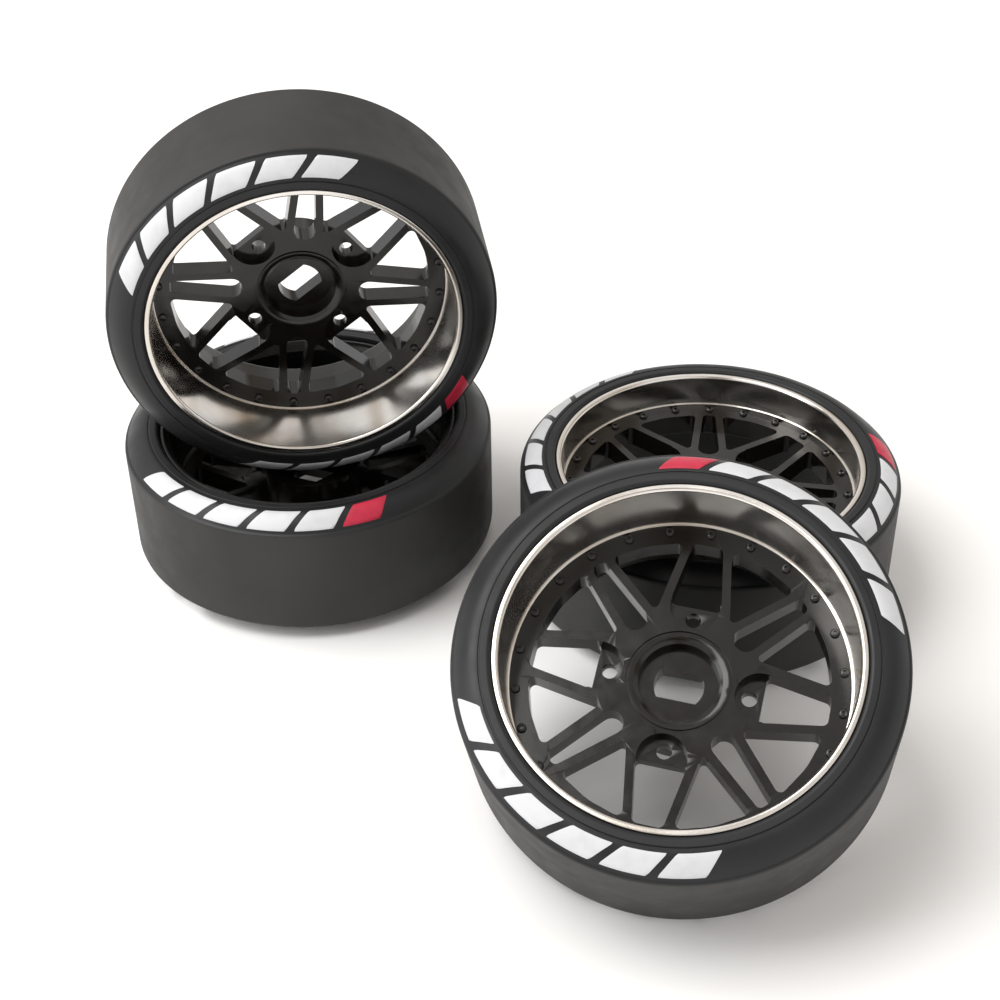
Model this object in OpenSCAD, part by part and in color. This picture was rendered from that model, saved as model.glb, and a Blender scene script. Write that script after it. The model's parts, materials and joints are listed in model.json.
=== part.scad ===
// Set of four 1/10 scale drift wheels with slick hard tyres, stacked for display.
// One wheel lies flat with its back up, a second stands on it, a third lies flat
// with its face up, and the fourth leans on the third.
// Every wheel is a hard tyre, a barrel, a spoked disc, a polished lip ring and a
// circle of small screws. Wheel axes are local +Z, pointing out of the face.

/* [Tyre] */
// Outside diameter of the tyre
tyre_d = 63; // [58:0.5:66]
// Width of the tyre over both beads
tyre_w = 24; // [22:0.5:28]
// Wall thickness of the hard tyre shell
tyre_wall = 2.2; // [1.5:0.1:3]
// How far the shoulder drops below the bead plane
shoulder_drop = 2.35; // [1:0.05:3.5]
// Radius of the raised bead ring
bead_r = 27.1; // [26.8:0.1:27.6]
// How far the bead ring stands proud of the sidewall
bead_proud = 0.12; // [0.12:0.01:0.3]

/* [Rim] */
// Outside radius of the barrel, where the tyre seats
barrel_r = 25.5; // [25:0.1:26]
// Depth of the deep dish, from bead plane to disc face
dish_deep = 11.6; // [9:0.1:12.5]
// Depth of the shallow dish, from bead plane to disc face
dish_shallow = 6.5; // [5:0.1:8]
// Radius of the lip's wall at the front
lip_front_r = 24.5; // [24.4:0.05:24.7]
// Radius of the lip's wall beside the disc
lip_back_r = 24.25; // [24.15:0.05:24.4]

/* [Disc] */
// Thickness of spokes and flange
disc_t = 3.5; // [3:0.1:4.5]
// Width of one spoke
spoke_w = 1.25; // [1:0.05:1.6]
// Inner radius of the disc's outer flange
flange_r = 21.5; // [21:0.1:22]
// Diameter of the wheel nut's counterbore
nut_seat_d = 11.6; // [10:0.1:12]
// Depth of the wheel nut's counterbore
nut_seat_depth = 2; // [1.5:0.1:2.5]
// Circle on which the four lug holes lie
lug_pcd = 20.2; // [19:0.1:21]
// Diameter of a lug hole
lug_hole_d = 2.26; // [2:0.02:2.6]
// Across flats of the drive hexagon in the hub's back
hex_af = 12.1; // [12:0.05:12.3]

/* [Screws] */
// Number of rim screws
screw_count = 24; // [12:2:30]
// Radius of the rim screws' circle
screw_circle_r = 23.2; // [23:0.05:23.3]
// Diameter of a screw head
screw_head_d = 1.4; // [1:0.05:1.5]

/* [Print] */
// Height of the printed marks above the sidewall
print_t = 0.12; // [0.05:0.01:0.2]
// Number of blocks in one printed arc
print_blocks = 6; // [4:1:8]

/* [Hidden] */
$fn = 96;
eps = 0.01;
half_w = tyre_w / 2;
tyre_r = tyre_d / 2;
seat_gap = 0.05;

// tyre section
bead_in_r = barrel_r + seat_gap;
groove_w = 0.35;
groove_depth = 0.25;
wall_start_r = bead_r + groove_w;
shoulder_r = tyre_r - 0.4;
crease_r = 0.6;
bead_t = 2.6;
cavity_r = 28;
cavity_chamfer = 1.6;

// lip ring section
lip_out_r = 24.95;
lip_recess = 0.3;
lip_seat_depth = 0.7;
step_h = 0.75;
step_r = 24.0;

// how far the rim's back edge sits below the bead plane
rear_recess = 0.75;
// inside radius of the barrel, and of the ring that the disc seats on
barrel_in_r = 23.7;
seat_ring_r = 23.0;

// hub
hub_r = 8.3;
hub_len_deep = 9;
hub_len_shallow = 7.8;
hex_depth = 4;
bore_long = 7.2;
bore_short = 4.5;
ring_r = 6.6;
ring_groove_r = 7.6;
pocket_r = 3.6;
pocket_at = 11.6;
pocket_depth = 1.7;
lug_inner_x = 12;

// printed band on the sidewall
print_in_r = 27.9;
print_out_r = 30.7;
print_pitch = 14.6;
print_block_a = 12;
print_slant = 5;
arc_offset = 174;

// each wheel's face centre, the tilt of its axle from +Z, and the azimuth of that tilt
// The lower and flat wheels stand on the table, z = 0.
upright_at = [2.15, -9.3, 46.3];
upright_tilt = 94.1;
upright_az = 8.4;
leaning_at = [56.7, -74, 34.3];
leaning_tilt = 27;
leaning_az = -11.7;
flat_at = [67.8, -14.5, tyre_w];
lower_at = [0, 0, 0];
plan_centre = [33.617, -34.716, 0];

wheel_names = ["lower", "upright", "flat", "leaning"];
piece_names = [
    "tyre", "barrel", "lip", "disc", "screws", "print", "flash", "back_print", "back_flash"
];

// ---------- geometry helpers ----------

function polar(r, a) = [r * cos(a), r * sin(a)];
function unit(v) = v / norm(v);
function side(v) = [-v[1], v[0]];

// where line p + t*d meets line q + s*e
function meet(p, d, q, e) =
    p + d * ((q[0] - p[0]) * e[1] - (q[1] - p[1]) * e[0]) / (d[0] * e[1] - d[1] * e[0]);

// where line p + t*d leaves the circle of radius r
function to_circle(p, d, r) =
    let (u = unit(d), b = p * u, c = p * p - r * r) p + u * (-b + sqrt(b * b - c));

// corner b of path a, b, c rounded with radius r
function rounded(a, b, c, r, n = 5) =
    let (
        u = unit(a - b),
        v = unit(c - b),
        half = acos(u * v) / 2,
        centre = b + unit(u + v) * r / sin(half),
        start = b + u * r / tan(half) - centre,
        finish = b + v * r / tan(half) - centre,
        a0 = atan2(start[1], start[0]),
        turn = atan2(finish[1], finish[0]) - a0,
        sweep = turn > 180 ? turn - 360 : turn < -180 ? turn + 360 : turn
    )
    [for (i = [0:n]) centre + polar(r, a0 + sweep * i / n)];

// closed outline with every corner rounded; radii gives one radius per corner
function rounded_outline(p, radii) =
    let (n = len(p))
    [for (i = [0:n - 1]) each rounded(p[(i + n - 1) % n], p[i], p[(i + 1) % n], radii[i])];

// ---------- tyre ----------

// height of the sidewall above the mid plane at radius r
function sidewall_z(r) =
    half_w - bead_proud - shoulder_drop * pow((r - wall_start_r) / (shoulder_r - wall_start_r), 2);

// outer outline of the front half, from bead to tread
function half_section() =
    let (crease_z = sidewall_z(shoulder_r) - crease_r)
    concat(
        [[bead_in_r, half_w - 0.5], [bead_in_r + 0.3, half_w - 0.1], [bead_in_r + 0.6, half_w]],
        [[bead_r - 0.1, half_w], [bead_r, half_w - 0.1]],
        [[bead_r + 0.05, half_w - groove_depth], [wall_start_r - 0.05, half_w - groove_depth]],
        [for (i = [0:8]) let (r = wall_start_r + (shoulder_r - wall_start_r) * i / 8) [r, sidewall_z(r)]],
        [for (i = [1:4]) [shoulder_r + 0.4 * sin(i * 22.5), crease_z + crease_r * cos(i * 22.5)]]
    );

module tyre() {
    front = half_section();
    back = [for (i = [len(front) - 1:-1:0]) [front[i][0], -front[i][1]]];
    cavity_z = half_w - bead_t;
    cavity = [
        [bead_in_r, -cavity_z], [cavity_r, -cavity_z],
        [tyre_r - tyre_wall, -cavity_z + cavity_chamfer],
        [tyre_r - tyre_wall, cavity_z - cavity_chamfer],
        [cavity_r, cavity_z], [bead_in_r, cavity_z]
    ];
    color("dimgray") rotate_extrude($fn = 180) polygon(concat(front, back, cavity));
}

// ---------- printed marks ----------

// thin skin that follows the sidewall
module print_skin() {
    radii = [for (i = [0:6]) print_in_r + (print_out_r - print_in_r) * i / 6];
    under = [for (r = radii) [r, sidewall_z(r) + eps]];
    over = [for (i = [6:-1:0]) [radii[i], sidewall_z(radii[i]) + print_t]];
    rotate_extrude($fn = 180) polygon(concat(under, over));
}

// slanted block that starts at angle a and runs clockwise
module slanted_block(a, sweep, r0 = print_in_r, r1 = print_out_r) {
    far = 1.02;
    linear_extrude(half_w * 2)
        polygon([
            polar(r0 / far, a), polar(r1 * far, a - print_slant),
            polar(r1 * far, a - print_slant - sweep), polar(r0 / far, a - sweep)
        ]);
}

// white blocks: one whole arc, and one that leaves its first block to the flash
module print_marks(start) {
    color("white") intersection() {
        print_skin();
        for (i = [0:print_blocks - 1], first = [0, arc_offset])
            if (first == 0 || i > 0)
                slanted_block(start + first - i * print_pitch, print_block_a);
    }
}

// red wedge that leads the second arc
module flash_mark(start) {
    color("crimson") intersection() {
        print_skin();
        slanted_block(start + arc_offset, print_block_a);
    }
}

// ---------- rim ----------

module barrel(dish) {
    seat_z = half_w - dish - disc_t;
    back_z = -half_w + rear_recess;
    color("#151515") rotate_extrude($fn = 180) polygon([
        [barrel_r, half_w - 0.75], [lip_out_r + seat_gap, half_w - 0.75], [lip_out_r + seat_gap, seat_z],
        [seat_ring_r, seat_z], [seat_ring_r, seat_z - 1],
        [barrel_in_r, seat_z - 1.7], [barrel_in_r, back_z + 1.4],
        [24.6, back_z + 0.5], [24.75, back_z], [25.2, back_z], [barrel_r, back_z + 0.3]
    ]);
}

module lip(dish) {
    disc_z = half_w - dish;
    front_z = half_w - lip_recess;
    color("gainsboro") rotate_extrude($fn = 180) polygon([
        [step_r, disc_z], [step_r, disc_z + step_h - 0.1], [step_r + 0.1, disc_z + step_h],
        [lip_back_r, disc_z + step_h], [lip_front_r, front_z - 0.35], [lip_front_r + 0.25, front_z - 0.05],
        [lip_front_r + 0.45, front_z], [barrel_r - 0.15, front_z], [barrel_r, front_z - 0.15],
        [barrel_r, half_w - lip_seat_depth], [lip_out_r, half_w - lip_seat_depth], [lip_out_r, disc_z]
    ]);
}

// ---------- spoked disc ----------

// centre lines of the spoke beside a lug and of the spoke beside a slot
lug_spoke = [polar(13.2, 19), polar(21.6, 7.5)];
slot_spoke = [polar(11.3, 32.5), polar(21.6, 40.5)];

// point on a spoke's edge; side_sign chooses the edge
function edge(s, side_sign) = s[0] + side(unit(s[1] - s[0])) * side_sign * spoke_w / 2;
function along(s) = unit(s[1] - s[0]);

// mirrored across the X axis
function flip(p) = [p[0], -p[1]];

module lug_window() {
    e = edge(lug_spoke, -1);
    d = along(lug_spoke);
    outer = to_circle(e, d, flange_r);
    inner = meet(e, d, [lug_inner_x, 0], [0, 1]);
    polygon(rounded_outline([inner, outer, flip(outer), flip(inner)], [0.7, 0.9, 0.9, 0.7]));
}

module triangle_window() {
    a = edge(lug_spoke, 1);
    b = edge(slot_spoke, -1);
    apex = meet(a, along(lug_spoke), b, along(slot_spoke));
    low = to_circle(a, along(lug_spoke), flange_r);
    high = to_circle(b, along(slot_spoke), flange_r);
    mid = polar(flange_r, (atan2(low[1], low[0]) + atan2(high[1], high[0])) / 2);
    polygon(rounded_outline([apex, low, mid, high], [0.6, 0.8, 12, 0.8]));
}

// slot on the 45 degree line, drawn along X
module slot_window() {
    turned = [for (p = slot_spoke) polar(norm(p), atan2(p[1], p[0]) - 45)];
    e = edge(turned, 1);
    outer = to_circle(e, along(turned), flange_r);
    inner_r = 1.7;
    inner = meet(e, along(turned), [9.6, 0], [0, 1]);
    polygon(rounded_outline([flip(inner), flip(outer), outer, inner], [inner_r, 0.8, 0.8, inner_r]));
}

module windows() {
    for (k = [0:3]) rotate(k * 90) {
        lug_window();
        triangle_window();
        mirror([0, 1]) triangle_window();
        rotate(45) slot_window();
    }
}

// hub with the nut's counterbore, its lead-in and the groove round it
module hub(hub_len) {
    seat_r = nut_seat_d / 2;
    rotate_extrude() polygon([
        [1, -hub_len], [hub_r, -hub_len], [hub_r, 0],
        [ring_groove_r, 0], [ring_groove_r, -0.25], [ring_groove_r - 0.35, -0.25], [ring_groove_r - 0.35, 0],
        [ring_r, 0], [seat_r, -0.4], [seat_r, -nut_seat_depth], [1, -nut_seat_depth]
    ]);
}

module disc(dish, hub_len) {
    color("#1c1c1c") translate([0, 0, half_w - dish]) difference() {
        union() {
            translate([0, 0, -disc_t]) linear_extrude(disc_t) difference() {
                circle(lip_out_r, $fn = 180);
                windows();
                circle(hub_r - 0.4);
            }
            hub(hub_len);
        }
        // double-D axle hole along the lug line
        translate([0, 0, -hub_len - 1]) linear_extrude(hub_len + 2) intersection() {
            circle(d = bore_long);
            square([bore_long + 1, bore_short], center = true);
        }
        // drive hexagon in the back
        translate([0, 0, -hub_len - 1]) cylinder(d = hex_af / cos(30), h = hex_depth + 1, $fn = 6);
        // lug pockets and holes
        for (k = [0:3]) rotate(k * 90) {
            translate([pocket_at, 0, -pocket_depth]) cylinder(r = pocket_r, h = pocket_depth + 1);
            translate([lug_pcd / 2, 0, -disc_t - 1]) cylinder(d = lug_hole_d, h = disc_t + 2);
        }
    }
}

module screws(dish) {
    color("#303030") for (k = [0:screw_count - 1])
        rotate(k * 360 / screw_count) translate([screw_circle_r, 0, half_w - dish + eps]) {
            cylinder(d = screw_head_d, h = 0.3, $fn = 24);
            translate([0, 0, 0.3]) cylinder(d1 = screw_head_d, d2 = screw_head_d * 0.6, h = 0.2, $fn = 24);
        }
}

// ---------- wheels in their places ----------

// puts a wheel's face centre at p, its axis tilted from +Z and turned about Z
module place(p, tilt, az) {
    translate(p - plan_centre) rotate([tilt, 0, az]) translate([0, 0, -half_w]) children();
}

// one named piece of a wheel
module piece(name, dish, hub_len, lug_turn, print_turn, back_turn) {
    if (name == "tyre") tyre();
    if (name == "barrel") barrel(dish);
    if (name == "lip") lip(dish);
    if (name == "disc") rotate(lug_turn) disc(dish, hub_len);
    if (name == "screws") rotate(lug_turn) screws(dish);
    if (name == "print") print_marks(print_turn);
    if (name == "flash") flash_mark(print_turn);
    if (name == "back_print") rotate([180, 0, 0]) print_marks(back_turn);
    if (name == "back_flash") rotate([180, 0, 0]) flash_mark(back_turn);
}

module lower(name) {
    place(lower_at, 180, 0) piece(name, dish_shallow, hub_len_shallow, 20, 40, 127.5);
}

module upright(name) {
    place(upright_at, upright_tilt, upright_az) piece(name, dish_deep, hub_len_deep, 37.6, 160.5, 20);
}

module flat(name) {
    place(flat_at, 0, 0) piece(name, dish_shallow, hub_len_shallow, 38.5, 198.5, 75);
}

module leaning(name) {
    place(leaning_at, leaning_tilt, leaning_az) piece(name, dish_deep, hub_len_deep, -4.6, -71, 110);
}

for (p = piece_names) {
    lower(p);
    upright(p);
    flat(p);
    leaning(p);
}
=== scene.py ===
import json
import math

import bmesh
import bpy
from mathutils import Matrix, Vector


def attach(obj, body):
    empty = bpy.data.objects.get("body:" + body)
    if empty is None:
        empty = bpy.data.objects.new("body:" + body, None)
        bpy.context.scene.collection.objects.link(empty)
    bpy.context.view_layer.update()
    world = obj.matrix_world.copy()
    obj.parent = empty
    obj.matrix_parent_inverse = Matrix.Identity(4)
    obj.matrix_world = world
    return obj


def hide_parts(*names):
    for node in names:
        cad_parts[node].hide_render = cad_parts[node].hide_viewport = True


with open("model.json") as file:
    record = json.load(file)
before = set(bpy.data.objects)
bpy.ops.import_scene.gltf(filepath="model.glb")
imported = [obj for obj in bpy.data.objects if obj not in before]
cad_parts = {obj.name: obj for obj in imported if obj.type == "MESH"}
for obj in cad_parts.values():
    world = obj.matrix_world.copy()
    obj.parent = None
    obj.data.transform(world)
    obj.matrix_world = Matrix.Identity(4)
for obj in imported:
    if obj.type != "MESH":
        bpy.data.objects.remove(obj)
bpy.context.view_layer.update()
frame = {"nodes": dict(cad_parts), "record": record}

MM = 0.001
WHEELS = ("lower", "upright", "flat", "leaning")

# Section of a wheel in millimetres, z measured from its middle plane along the axle
HALF_W = 12.0
TREAD_R = 31.5
SHOULDER_R = 31.1
SHOULDER_DROP = 2.35
BEAD_IN_R = 25.55
BEAD_R = 27.1
WALL_START_R = 27.45
BEAD_PROUD = 0.12
GROOVE_DEPTH = 0.25
BARREL_R = 25.5
REAR_RECESS = 0.75
DISC_T = 3.5
LIP_OUT_R = 24.95
SCREW_COUNT = 24
SCREW_R = 23.2
PRINT_IN_R = 27.9
PRINT_OUT_R = 30.7
PRINT_T = 0.12
PRINT_BLOCKS = 6
PRINT_PITCH = 14.6
PRINT_SWEEP = 12.0
PRINT_SLANT = 5.0
ARC_OFFSET = 174.0
NUT_SEAT_MID = 1.2

# The disc's edges are broken only outside this radius, so the hub keeps the CAD's shape
HUB_EDGE_R = 8.6
EDGE_BREAK = 0.13
WELD = 0.002
FLAT_ANGLE = 1.5
BROKEN_ANGLE = 40
SMOOTH_ANGLE = 50

RING_SEGMENTS = 192
HEAD_SEGMENTS = 24
CORNER_STEPS = 4
SIDEWALL_STEPS = 20
PLACE_ATTRIBUTE = "wheel_place"
CUSTOM_NORMALS = "custom_normal"

# Dish depth, and the turns of the lugs and of the front and back prints, in degrees
WHEEL_FACTS = {
    "lower": (6.5, 20.0, 40.0, 127.5),
    "upright": (11.6, 37.6, 160.5, 20.0),
    "flat": (6.5, 38.5, 198.5, 75.0),
    "leaning": (11.6, -4.6, -71.0, 110.0),
}


# ---------- mesh helpers ----------

def rounded(points):
    """Closed outline of (r, z, corner radius) points with each corner turned into an arc."""
    outline = []
    for i, (r, z, radius) in enumerate(points):
        here = Vector((r, z))
        before = Vector(points[i - 1][:2]) - here
        after = Vector(points[(i + 1) % len(points)][:2]) - here
        if radius == 0:
            outline.append((r, z))
            continue
        reach = min(radius, before.length * 0.45, after.length * 0.45)
        start, end = here + before.normalized() * reach, here + after.normalized() * reach
        for k in range(CORNER_STEPS + 1):
            t = k / CORNER_STEPS
            outline.append(tuple((1 - t) ** 2 * start + 2 * t * (1 - t) * here + t * t * end))
    return outline


def keep_wheel_place(mesh):
    """Stores each point's place in the wheel's own frame, for marks that run round the axle."""
    place = mesh.attributes.new(PLACE_ATTRIBUTE, "FLOAT_VECTOR", "POINT")
    for vertex, entry in zip(mesh.vertices, place.data):
        entry.vector = vertex.co


def new_object(name, bm, material, body, replaced):
    """Finishes a piece: mesh, place, material, body and the CAD nodes that it stands for."""
    bmesh.ops.recalc_face_normals(bm, faces=bm.faces)
    mesh = bpy.data.meshes.new(name)
    bm.to_mesh(mesh)
    bm.free()
    # The file importer stores normals that no longer fit once the edges are bevelled
    if mesh.has_custom_normals:
        mesh.attributes.remove(mesh.attributes[CUSTOM_NORMALS])
    keep_wheel_place(mesh)
    mesh.transform(placement(body))
    obj = bpy.data.objects.new(name, mesh)
    bpy.context.scene.collection.objects.link(obj)
    mesh.materials.append(material)
    mesh.shade_smooth()
    mesh.set_sharp_from_angle(angle=math.radians(SMOOTH_ANGLE))
    weighted = obj.modifiers.new("weighted_normals", "WEIGHTED_NORMAL")
    weighted.weight = 100
    weighted.keep_sharp = True
    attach(obj, body + "_wheel")
    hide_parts(replaced)
    return obj


def lathe(outline, segments=RING_SEGMENTS):
    """Turned solid about Z from a closed outline of (r, z) points in millimetres."""
    bm = bmesh.new()
    rings = []
    for k in range(segments):
        a = 2 * math.pi * k / segments
        rings.append([bm.verts.new((r * math.cos(a) * MM, r * math.sin(a) * MM, z * MM))
                      for r, z in outline])
    for k in range(segments):
        here, there = rings[k], rings[(k + 1) % segments]
        for i in range(len(outline)):
            j = (i + 1) % len(outline)
            bm.faces.new((here[i], there[i], there[j], here[j]))
    return bm


# ---------- places ----------

MOUNTS = {m["name"]: m for m in frame["record"]["mounts"]}


def placement(wheel):
    """Matrix from a wheel's own frame to the row frame, worked out from its nut seat."""
    seat = MOUNTS[wheel + "_nut_seat"]
    axle = Vector(seat["axis"]).normalized()
    across = Vector((-axle.y, axle.x, 0))
    across = across.normalized() if across.length > 1e-4 else Vector((1, 0, 0))
    up = axle.cross(across)
    dish = WHEEL_FACTS[wheel][0]
    centre = Vector(seat["pos_m"]) + axle * (dish + NUT_SEAT_MID - HALF_W) * MM
    return Matrix.Translation(centre) @ Matrix((across, up, axle)).transposed().to_4x4()


# ---------- materials ----------

def add(tree, kind, **settings):
    made = tree.nodes.new(kind)
    for key, value in settings.items():
        if hasattr(made, key):
            setattr(made, key, value)
        else:
            made.inputs[key.replace("_", " ")].default_value = value
    return made


def base_material(name, **shader):
    """Material with a principled shader, whose settings are given by socket name."""
    material = bpy.data.materials.new(name)
    material.use_nodes = True
    principled = material.node_tree.nodes["Principled BSDF"]
    for key, value in shader.items():
        principled.inputs[key.replace("_", " ")].default_value = value
    return material, material.node_tree, principled


def ramp(tree, source, stops):
    made = tree.nodes.new("ShaderNodeValToRGB")
    elements = made.color_ramp.elements
    while len(elements) < len(stops):
        elements.new(0.5)
    for element, (place, colour) in zip(elements, stops):
        element.position = place
        element.color = (*colour, 1)
    tree.links.new(source, made.inputs[0])
    return made.outputs[0]


def wheel_place(tree):
    """Place in the wheel's own frame."""
    return add(tree, "ShaderNodeAttribute", attribute_name=PLACE_ATTRIBUTE).outputs["Vector"]


def grey(value):
    return (value, value, value)


def noise(tree, scale, detail=3.0, vector=None):
    made = add(tree, "ShaderNodeTexNoise", Scale=scale, Detail=detail)
    if vector is None:
        vector = wheel_place(tree)
    tree.links.new(vector, made.inputs["Vector"])
    return made.outputs["Fac"]


def axle_radius(tree):
    """Place in the wheel's own frame and the distance from the axle, in metres."""
    source = wheel_place(tree)
    flat = add(tree, "ShaderNodeVectorMath", operation="MULTIPLY")
    tree.links.new(source, flat.inputs[0])
    flat.inputs[1].default_value = (1, 1, 0)
    length = add(tree, "ShaderNodeVectorMath", operation="LENGTH")
    tree.links.new(flat.outputs[0], length.inputs[0])
    return source, length.outputs["Value"]


def turned_coordinate(tree, stretch):
    """Coordinate that changes with radius and depth but hardly round the axle, for turning marks."""
    source, radius = axle_radius(tree)
    split = tree.nodes.new("ShaderNodeSeparateXYZ")
    tree.links.new(source, split.inputs[0])
    joined = tree.nodes.new("ShaderNodeCombineXYZ")
    tree.links.new(radius, joined.inputs["X"])
    tree.links.new(split.outputs["Z"], joined.inputs["Y"])
    drift = add(tree, "ShaderNodeVectorMath", operation="SCALE")
    tree.links.new(source, drift.inputs[0])
    drift.inputs["Scale"].default_value = stretch
    blended = add(tree, "ShaderNodeVectorMath", operation="ADD")
    tree.links.new(joined.outputs[0], blended.inputs[0])
    tree.links.new(drift.outputs[0], blended.inputs[1])
    return blended.outputs[0]


def mixed(tree, share, low, high):
    """Colour that goes from low to high as share goes from 0 to 1."""
    made = add(tree, "ShaderNodeMix", data_type="RGBA")
    tree.links.new(share, made.inputs["Factor"])
    colour_inputs = [socket for socket in made.inputs if socket.type == "RGBA"]
    tree.links.new(low, colour_inputs[0])
    tree.links.new(high, colour_inputs[1])
    return [socket for socket in made.outputs if socket.type == "RGBA"][0]


def bump(tree, principled, height, strength, distance):
    made = add(tree, "ShaderNodeBump", Strength=strength, Distance=distance)
    tree.links.new(height, made.inputs["Height"])
    tree.links.new(made.outputs[0], principled.inputs["Normal"])


def tyre_material():
    """Hard moulded slick: dark satin sidewalls, and a paler, more matt tread with handling marks."""
    material, tree, principled = base_material("hard_tyre", Specular_IOR_Level=0.32)
    _, radius = axle_radius(tree)
    tread = add(tree, "ShaderNodeMapRange")
    tree.links.new(radius, tread.inputs["Value"])
    tread.inputs["From Min"].default_value = (SHOULDER_R + 0.15) * MM
    tread.inputs["From Max"].default_value = (TREAD_R - 0.02) * MM
    patches = noise(tree, 60, 5)
    side = ramp(tree, patches, [(0.3, (0.0085, 0.0088, 0.0098)), (0.72, (0.0150, 0.0153, 0.0166))])
    band = ramp(tree, patches, [(0.3, (0.021, 0.0205, 0.0205)), (0.72, (0.035, 0.0342, 0.0338))])
    tree.links.new(mixed(tree, tread.outputs[0], side, band), principled.inputs["Base Color"])
    grain = noise(tree, 240, 6)
    side_rough = ramp(tree, grain, [(0.25, grey(0.34)), (0.75, grey(0.50))])
    band_rough = ramp(tree, grain, [(0.25, grey(0.50)), (0.75, grey(0.68))])
    tree.links.new(mixed(tree, tread.outputs[0], side_rough, band_rough), principled.inputs["Roughness"])
    bump(tree, principled, noise(tree, 5200, 2), 0.16, 0.00006)
    return material


def moulded_black():
    """Barrel plastic with soft turning marks."""
    material, tree, principled = base_material("moulded_black")
    stops = [(0.3, (0.0055, 0.0052, 0.005)), (0.7, (0.011, 0.0102, 0.0095))]
    tree.links.new(ramp(tree, noise(tree, 90, 4), stops), principled.inputs["Base Color"])
    tree.links.new(ramp(tree, noise(tree, 300, 4), [(0.3, grey(0.24)), (0.7, grey(0.36))]),
                   principled.inputs["Roughness"])
    bump(tree, principled, noise(tree, 1500, 2, turned_coordinate(tree, 0.04)), 0.12, 0.00005)
    return material


def gloss_black():
    """Spoke plastic: glossy black with mould ripple; its slight brown cast is a painted reflection of warm
    surroundings.
    """
    material, tree, principled = base_material("gloss_black", Specular_IOR_Level=0.45)
    # Brown-tinted black base colour that varies at random: the brown tint is a painted warm reflection.
    stops = [(0.3, (0.0030, 0.0026, 0.0023)), (0.75, (0.0075, 0.0062, 0.0052))]
    tree.links.new(ramp(tree, noise(tree, 70, 4), stops), principled.inputs["Base Color"])
    tree.links.new(ramp(tree, noise(tree, 350, 4), [(0.3, grey(0.12)), (0.7, grey(0.22))]),
                   principled.inputs["Roughness"])
    bump(tree, principled, noise(tree, 900, 2), 0.05, 0.00006)
    return material


def polished_lip():
    """Bright turned metal finish: fine rings round the axle and uneven polish in the roughness; the warm,
    blotchy base colour is a painted reflection.
    """
    material, tree, principled = base_material("polished_lip", Metallic=1.0)
    # Warm beige blotches in the metal's colour: painted reflection of warm surroundings.
    tree.links.new(ramp(tree, noise(tree, 55, 3), [(0.3, (0.60, 0.545, 0.48)), (0.7, (0.80, 0.775, 0.74))]),
                   principled.inputs["Base Color"])
    tree.links.new(ramp(tree, noise(tree, 130, 4), [(0.3, grey(0.15)), (0.7, grey(0.27))]),
                   principled.inputs["Roughness"])
    bump(tree, principled, noise(tree, 1300, 0, turned_coordinate(tree, 0.01)), 0.04, 0.00003)
    return material


def screw_black():
    material, tree, principled = base_material("screw_black")
    tree.links.new(ramp(tree, noise(tree, 400, 3), [(0.3, grey(0.008)), (0.7, grey(0.02))]),
                   principled.inputs["Base Color"])
    tree.links.new(ramp(tree, noise(tree, 900, 3), [(0.3, grey(0.12)), (0.7, grey(0.26))]),
                   principled.inputs["Roughness"])
    return material


def print_material(name, dark, light):
    """Pad-printed ink: slightly uneven cover, satin."""
    material, tree, principled = base_material(name)
    tree.links.new(ramp(tree, noise(tree, 420, 5), [(0.28, dark), (0.55, light)]),
                   principled.inputs["Base Color"])
    tree.links.new(ramp(tree, noise(tree, 600, 4), [(0.3, grey(0.36)), (0.7, grey(0.52))]),
                   principled.inputs["Roughness"])
    bump(tree, principled, noise(tree, 3000, 2), 0.1, 0.00005)
    return material


MATERIALS = {
    "tyre": tyre_material(),
    "black_plastic": moulded_black(),
    "gloss_black": gloss_black(),
    "chrome": polished_lip(),
    "screw_black": screw_black(),
    "print_white": print_material("white_ink", (0.55, 0.56, 0.58), (0.60, 0.61, 0.63)),
    "print_red": print_material("red_ink", (0.40, 0.010, 0.035), (0.50, 0.014, 0.048)),
}


# ---------- pieces of a wheel ----------

def sidewall_z(r):
    share = (r - WALL_START_R) / (SHOULDER_R - WALL_START_R)
    return HALF_W - BEAD_PROUD - SHOULDER_DROP * share ** 2


def tyre_outline():
    """Bead ring, groove, domed sidewall, rounded crease and flat slick tread, and the hollow inside."""
    crease = 0.6
    crease_z = sidewall_z(SHOULDER_R) - crease
    front = rounded([
        (BEAD_IN_R, HALF_W - 0.5, 0), (BEAD_IN_R + 0.3, HALF_W - 0.1, 0.12), (BEAD_IN_R + 0.6, HALF_W, 0.1),
        (BEAD_R, HALF_W, 0.12), (BEAD_R + 0.05, HALF_W - GROOVE_DEPTH, 0.04),
        (WALL_START_R - 0.05, HALF_W - GROOVE_DEPTH, 0.04), (WALL_START_R, HALF_W - BEAD_PROUD, 0),
    ])
    span = SHOULDER_R - WALL_START_R
    wall = [WALL_START_R + span * i / SIDEWALL_STEPS for i in range(1, SIDEWALL_STEPS + 1)]
    front += [(r, sidewall_z(r)) for r in wall]
    turns = [math.radians(i * 15) for i in range(1, 7)]
    front += [(SHOULDER_R + 0.4 * math.sin(a), crease_z + crease * math.cos(a)) for a in turns]
    back = [(r, -z) for r, z in reversed(front)]
    tread = [(TREAD_R, crease_z * (1 - i / 6)) for i in range(1, 12)]
    cavity = [(BEAD_IN_R, -9.4), (28, -9.4), (29.3, -7.8), (29.3, 7.8), (28, 9.4), (BEAD_IN_R, 9.4)]
    return front + tread + back + cavity


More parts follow.
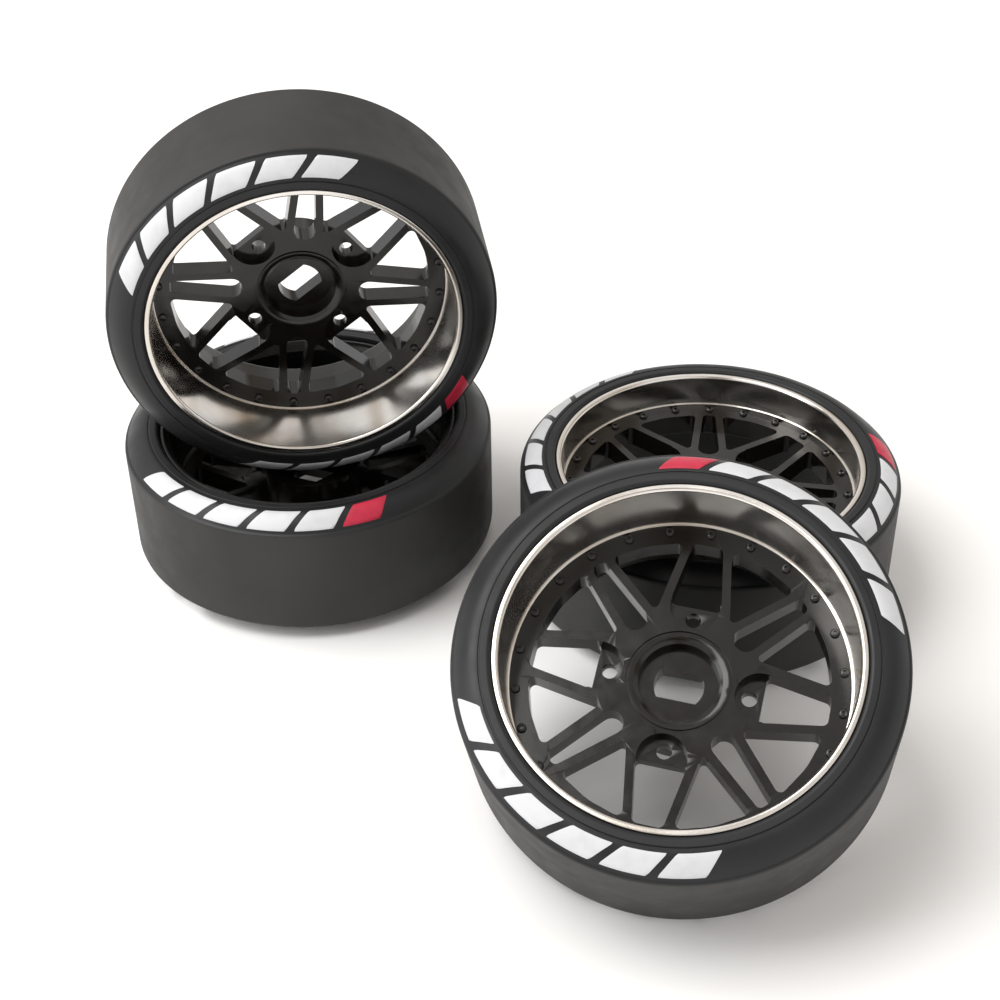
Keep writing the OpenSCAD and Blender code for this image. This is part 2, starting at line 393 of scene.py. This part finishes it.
def barrel_outline(dish):
    seat_z = HALF_W - dish - DISC_T
    back_z = -HALF_W + REAR_RECESS
    front_z = HALF_W - 0.75
    return rounded([
        (BARREL_R, front_z, 0), (25.0, front_z, 0), (25.0, seat_z, 0), (23.0, seat_z, 0.1),
        (23.0, seat_z - 1, 0.15), (23.7, seat_z - 1.7, 0.3), (23.7, back_z + 1.4, 0.3),
        (24.6, back_z + 0.5, 0.2), (24.75, back_z, 0.1), (25.2, back_z, 0.12), (BARREL_R, back_z + 0.3, 0.1),
    ])


def lip_outline(dish):
    disc_z = HALF_W - dish
    front_z = HALF_W - 0.3
    return rounded([
        (24.0, disc_z, 0), (24.0, disc_z + 0.75, 0.12), (24.25, disc_z + 0.75, 0.08),
        (24.5, front_z - 0.35, 0.12), (24.75, front_z - 0.05, 0.1), (LIP_OUT_R, front_z, 0.05),
        (BARREL_R, front_z, 0.15), (BARREL_R, HALF_W - 0.7, 0), (LIP_OUT_R, HALF_W - 0.7, 0),
        (LIP_OUT_R, disc_z, 0),
    ])


def bevelled_disc(wheel):
    """The spoked disc with the edges of its spokes broken, so that they catch the light."""
    bm = bmesh.new()
    bm.from_mesh(frame["nodes"][wheel + "_disc"].data)
    bmesh.ops.transform(bm, matrix=placement(wheel).inverted(), verts=bm.verts)
    bmesh.ops.remove_doubles(bm, verts=bm.verts, dist=WELD * MM)

    def outside_hub(edge):
        return all(v.co.xy.length > HUB_EDGE_R * MM for v in edge.verts)

    level = [e for e in bm.edges if outside_hub(e)]
    bmesh.ops.dissolve_limit(bm, angle_limit=math.radians(FLAT_ANGLE), edges=level,
                             verts=[v for v in bm.verts if v.co.xy.length > HUB_EDGE_R * MM])
    sharp = [e for e in bm.edges if len(e.link_faces) == 2 and outside_hub(e)
             and e.calc_face_angle() > math.radians(BROKEN_ANGLE)]
    bmesh.ops.bevel(bm, geom=sharp, offset=EDGE_BREAK * MM, segments=3, profile=0.55, affect="EDGES",
                    clamp_overlap=True)
    many_sided = [f for f in bm.faces if len(f.verts) > 4]
    bmesh.ops.triangulate(bm, faces=many_sided, ngon_method="EAR_CLIP")
    return bm


def screw_heads(dish, turn):
    """Ring of low domed heads, each with a small hexagonal socket."""
    bm = bmesh.new()
    profile = [(0.7, 0.01), (0.7, 0.18), (0.66, 0.31), (0.56, 0.42), (0.44, 0.49), (0.34, 0.5), (0.31, 0.22)]
    socket_rings = {5, 6}
    for n in range(SCREW_COUNT):
        a = math.radians(turn) + 2 * math.pi * n / SCREW_COUNT
        cx, cy = SCREW_R * math.cos(a), SCREW_R * math.sin(a)
        rings = []
        for i, (r, z) in enumerate(profile):
            ring = []
            for k in range(HEAD_SEGMENTS):
                b = 2 * math.pi * k / HEAD_SEGMENTS
                across = 1
                if i in socket_rings:
                    across = math.cos(math.pi / 6) / math.cos(b % (math.pi / 3) - math.pi / 6)
                ring.append(bm.verts.new(((cx + r * across * math.cos(b)) * MM,
                                          (cy + r * across * math.sin(b)) * MM, (HALF_W - dish + z) * MM)))
            rings.append(ring)
        for low, high in zip(rings, rings[1:]):
            for k in range(HEAD_SEGMENTS):
                j = (k + 1) % HEAD_SEGMENTS
                bm.faces.new((low[k], low[j], high[j], high[k]))
        bm.faces.new(rings[-1])
        bm.faces.new(list(reversed(rings[0])))
    return bm


def print_block(bm, start, flip):
    """One printed slanted block that follows the sidewall; start is its leading angle in degrees."""
    across, along = 10, 14
    soft = 0.22
    grids = []
    for lift in (PRINT_T, 0.01):
        grid = []
        for i in range(across + 1):
            v = i / across
            r = PRINT_IN_R + (PRINT_OUT_R - PRINT_IN_R) * v
            row = []
            for j in range(along + 1):
                u = j / along
                corner = soft * max(0, abs(2 * v - 1) * 2 - 1.6) / 0.4
                squeezed = u + (0.5 - u) * 0.18 * corner
                a = math.radians(start - PRINT_SLANT * v - PRINT_SWEEP * squeezed)
                edge = i in (0, across) or j in (0, along)
                z = sidewall_z(r) + (lift if not (edge and lift == PRINT_T) else lift * 0.6)
                y = r * math.sin(a)
                side = -1 if flip else 1
                row.append(bm.verts.new((r * math.cos(a) * MM, side * y * MM, side * z * MM)))
            grid.append(row)
        grids.append(grid)
    top, under = grids
    for i in range(across):
        for j in range(along):
            bm.faces.new((top[i][j], top[i][j + 1], top[i + 1][j + 1], top[i + 1][j]))
            bm.faces.new((under[i][j], under[i + 1][j], under[i + 1][j + 1], under[i][j + 1]))
    rim = [(0, j) for j in range(along)] + [(i, along) for i in range(across)]
    rim += [(across, j) for j in range(along, 0, -1)] + [(i, 0) for i in range(across, 0, -1)]
    for (i, j), (k, m) in zip(rim, rim[1:] + rim[:1]):
        bm.faces.new((top[i][j], under[i][j], under[k][m], top[k][m]))


def printed_marks(start, flip):
    """White blocks of both arcs; the second arc leaves its first block to the flash."""
    bm = bmesh.new()
    for i in range(PRINT_BLOCKS):
        print_block(bm, start - i * PRINT_PITCH, flip)
        if i > 0:
            print_block(bm, start + ARC_OFFSET - i * PRINT_PITCH, flip)
    return bm


def flash(start, flip):
    bm = bmesh.new()
    print_block(bm, start + ARC_OFFSET, flip)
    return bm


def build_wheel(wheel):
    dish, lug_turn, front_turn, back_turn = WHEEL_FACTS[wheel]
    made = [
        ("tyre", "tyre", lathe(tyre_outline())),
        ("barrel", "black_plastic", lathe(barrel_outline(dish))),
        ("lip", "chrome", lathe(lip_outline(dish))),
        ("disc", "gloss_black", bevelled_disc(wheel)),
        ("screws", "screw_black", screw_heads(dish, lug_turn)),
        ("print", "print_white", printed_marks(front_turn, False)),
        ("flash", "print_red", flash(front_turn, False)),
        ("back_print", "print_white", printed_marks(back_turn, True)),
        ("back_flash", "print_red", flash(back_turn, True)),
    ]
    for part, slot, bm in made:
        new_object(f"{wheel}_{part}_look", bm, MATERIALS[slot], wheel, f"{wheel}_{part}")


for name in WHEELS:
    build_wheel(name)


# ---------- studio ----------

def floor():
    bm = bmesh.new()
    half = 30.0
    bm.faces.new([bm.verts.new((x * half, y * half, 0)) for x, y in ((-1, -1), (1, -1), (1, 1), (-1, 1))])
    mesh = bpy.data.meshes.new("floor")
    bm.to_mesh(mesh)
    bm.free()
    obj = bpy.data.objects.new("floor", mesh)
    obj.location.z = -0.0002
    bpy.context.scene.collection.objects.link(obj)
    material, _, _ = base_material("pale_floor", Base_Color=(0.93, 0.93, 0.925, 1), Roughness=0.85)
    mesh.materials.append(material)


def softbox(name, location, target, size, power, colour):
    light = bpy.data.lights.new(name, "AREA")
    light.shape = "RECTANGLE"
    light.size, light.size_y = size
    light.energy = power
    light.color = colour
    obj = bpy.data.objects.new(name, light)
    obj.location = location
    obj.rotation_euler = (Vector(target) - Vector(location)).to_track_quat("-Z", "Y").to_euler()
    bpy.context.scene.collection.objects.link(obj)


def studio_world():
    """Room light: even and pale near the horizon, with warm dark patches above for the lips to show."""
    world = bpy.data.worlds.new("studio")
    bpy.context.scene.world = world
    world.use_nodes = True
    tree = world.node_tree
    background = tree.nodes["Background"]
    direction = tree.nodes.new("ShaderNodeTexCoord").outputs["Generated"]
    patches = noise(tree, 3.2, 2, direction)
    stops = [(0.33, (0.15, 0.11, 0.08)), (0.44, (0.52, 0.46, 0.39)), (0.56, (0.97, 0.97, 0.98))]
    colour = ramp(tree, patches, stops)
    split = tree.nodes.new("ShaderNodeSeparateXYZ")
    tree.links.new(direction, split.inputs[0])
    height = add(tree, "ShaderNodeMapRange")
    tree.links.new(split.outputs["Z"], height.inputs["Value"])
    height.inputs["From Min"].default_value = 0.15
    height.inputs["From Max"].default_value = 0.35
    plain = tree.nodes.new("ShaderNodeRGB")
    plain.outputs[0].default_value = (0.97, 0.97, 0.98, 1)
    tree.links.new(mixed(tree, height.outputs[0], plain.outputs[0], colour), background.inputs["Color"])
    background.inputs["Strength"].default_value = 1.1


def camera():
    """The set seen from in front and above, a little rolled."""
    data = bpy.data.cameras.new("camera")
    data.sensor_width = 36
    data.lens = 64.0
    data.clip_start = 0.01
    obj = bpy.data.objects.new("camera", data)
    pitch, roll = math.radians(37.02), 0.0148
    forward = Vector((0, math.cos(pitch), -math.sin(pitch)))
    level_down = Vector((0, -math.sin(pitch), -math.cos(pitch)))
    right = Vector((1, 0, 0)) * math.cos(roll) + level_down * math.sin(roll)
    down = Vector((-1, 0, 0)) * math.sin(roll) + level_down * math.cos(roll)
    place = Matrix((right, -down, -forward)).transposed().to_4x4()
    obj.matrix_world = Matrix.Translation((-0.00074, -0.21915, 0.19599)) @ place
    bpy.context.scene.collection.objects.link(obj)
    bpy.context.scene.camera = obj


floor()
studio_world()
softbox("overhead", (-0.40, -0.02, 0.75), (0, 0, 0.02), (0.55, 0.55), 5.0, (1.0, 0.99, 0.97))
softbox("left", (-0.7, -0.15, 0.35), (0, 0, 0.03), (0.35, 0.5), 1.8, (0.97, 0.98, 1.0))
camera()
bpy.context.scene.view_settings.view_transform = "Standard"
